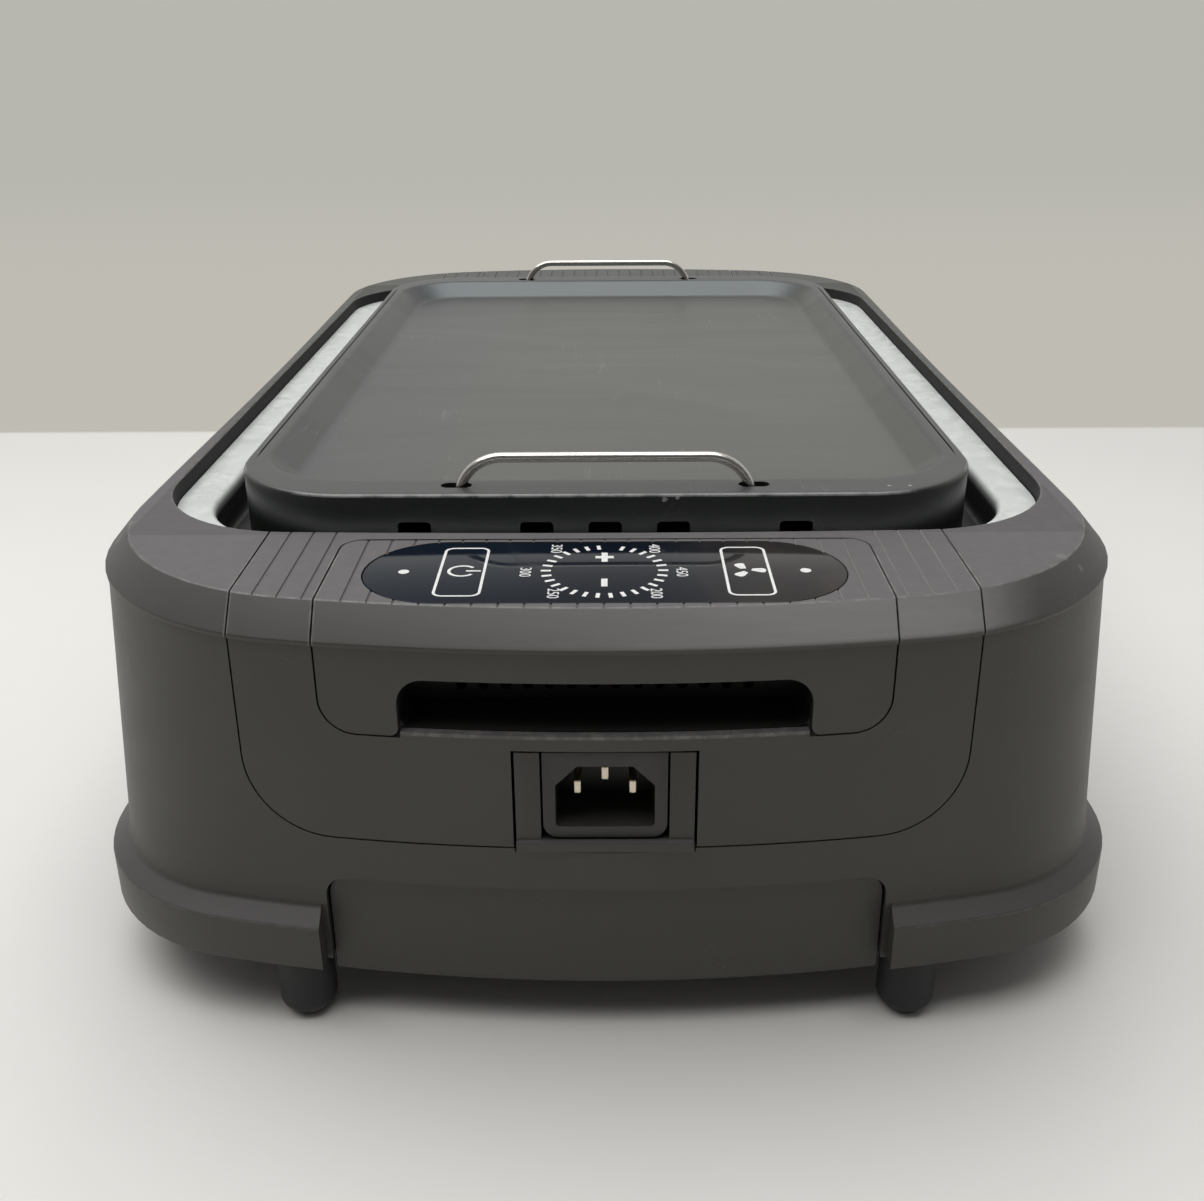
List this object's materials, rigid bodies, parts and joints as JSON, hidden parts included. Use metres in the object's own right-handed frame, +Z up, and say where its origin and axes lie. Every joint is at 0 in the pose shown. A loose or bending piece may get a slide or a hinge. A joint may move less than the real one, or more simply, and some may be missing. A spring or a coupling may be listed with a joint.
{
  "type": "smokeless indoor grill",
  "caption": "Long indoor grill with a lift-out griddle plate in a bright liner, wire plate handles, a touch console over a hand hold, a mains inlet and a slide-out drip tray.",
  "frame": {"origin": "on the table, under the middle of the grill", "axes": "+Z up, -Y towards the control end, +X to the right as seen from the control end"},
  "size_m": [0.295, 0.505, 0.14],
  "materials": {
    "graphite_plastic": "moulded, satin, fine texture",
    "dark_plastic": "moulded, matte",
    "foot_rubber": "matte",
    "touch_glass": "gloss",
    "socket_black": "moulded, satin",
    "pin_metal": "tinned, satin",
    "aluminised_sheet": "aluminised steel, mottled",
    "cast_plate": "dark non-stick coating, satin",
    "handle_steel": "brushed",
    "heater_tube": "oxidised sheath",
    "zinc_sheet": "zinc plated",
    "ceramic": "unglazed ceramic",
    "circuit_board": "solder resist",
    "fan_plastic": "moulded, heat resistant"
  },
  "bodies": {
    "housing": {"base_housing": "graphite_plastic", "top_rim": "graphite_plastic", "front_end_panel": "graphite_plastic", "rear_end_panel": "graphite_plastic", "control_console": "graphite_plastic", "rear_console": "graphite_plastic", "front_hand_recess": "dark_plastic", "rear_hand_recess": "dark_plastic", "touch_panel": "touch_glass", "control_board": "circuit_board", "power_inlet": "socket_black", "inlet_frame": "graphite_plastic", "inlet_pin_line": "pin_metal", "inlet_pin_neutral": "pin_metal", "inlet_pin_earth": "pin_metal", "liner": "aluminised_sheet", "heating_element": "heater_tube", "element_bracket_front": "zinc_sheet", "element_bracket_rear": "zinc_sheet", "terminal_block": "ceramic", "thermal_cutout": "ceramic", "tray_runner_left": "zinc_sheet", "tray_runner_right": "zinc_sheet", "tray_tunnel": "zinc_sheet", "power_board": "circuit_board", "bottom_cover": "dark_plastic", "rear_low_panel": "graphite_plastic", "foot_front_left": "foot_rubber", "foot_front_right": "foot_rubber", "foot_rear_left": "foot_rubber", "foot_rear_right": "foot_rubber", "fan_housing": "dark_plastic", "fan_motor": "zinc_sheet", "grease_filter": "zinc_sheet", "cover_screw_1": "zinc_sheet", "cover_screw_2": "zinc_sheet", "cover_screw_3": "zinc_sheet", "cover_screw_4": "zinc_sheet", "cover_screw_5": "zinc_sheet", "cover_screw_6": "zinc_sheet"},
    "tray": {"drip_tray": "dark_plastic", "drip_tray_front": "graphite_plastic"},
    "plate": {"griddle_plate": "cast_plate"},
    "front_handle": {"front_wire_handle": "handle_steel"},
    "rear_handle": {"rear_wire_handle": "handle_steel"},
    "impeller": {"fan_impeller": "fan_plastic"}
  },
  "joints": [
    {"name": "tray_slide", "type": "slide", "parent": "housing", "child": "tray", "axis": [0, -1, 0], "range_m": [0, 0.3]},
    {"name": "plate_lift", "type": "slide", "parent": "housing", "child": "plate", "axis": [0, 0, 1], "range_m": [0, 0.1]},
    {"name": "front_handle_lift", "type": "slide", "parent": "plate", "child": "front_handle", "axis": [0, 0, 1], "range_m": [0, 0.012]},
    {"name": "rear_handle_lift", "type": "slide", "parent": "plate", "child": "rear_handle", "axis": [0, 0, 1], "range_m": [0, 0.012]},
    {"name": "fan_spin", "type": "hinge", "parent": "housing", "child": "impeller", "pos_m": [0, 0.1935, 0.064], "axis": [0, 1, 0], "continuous": true}
  ]
}
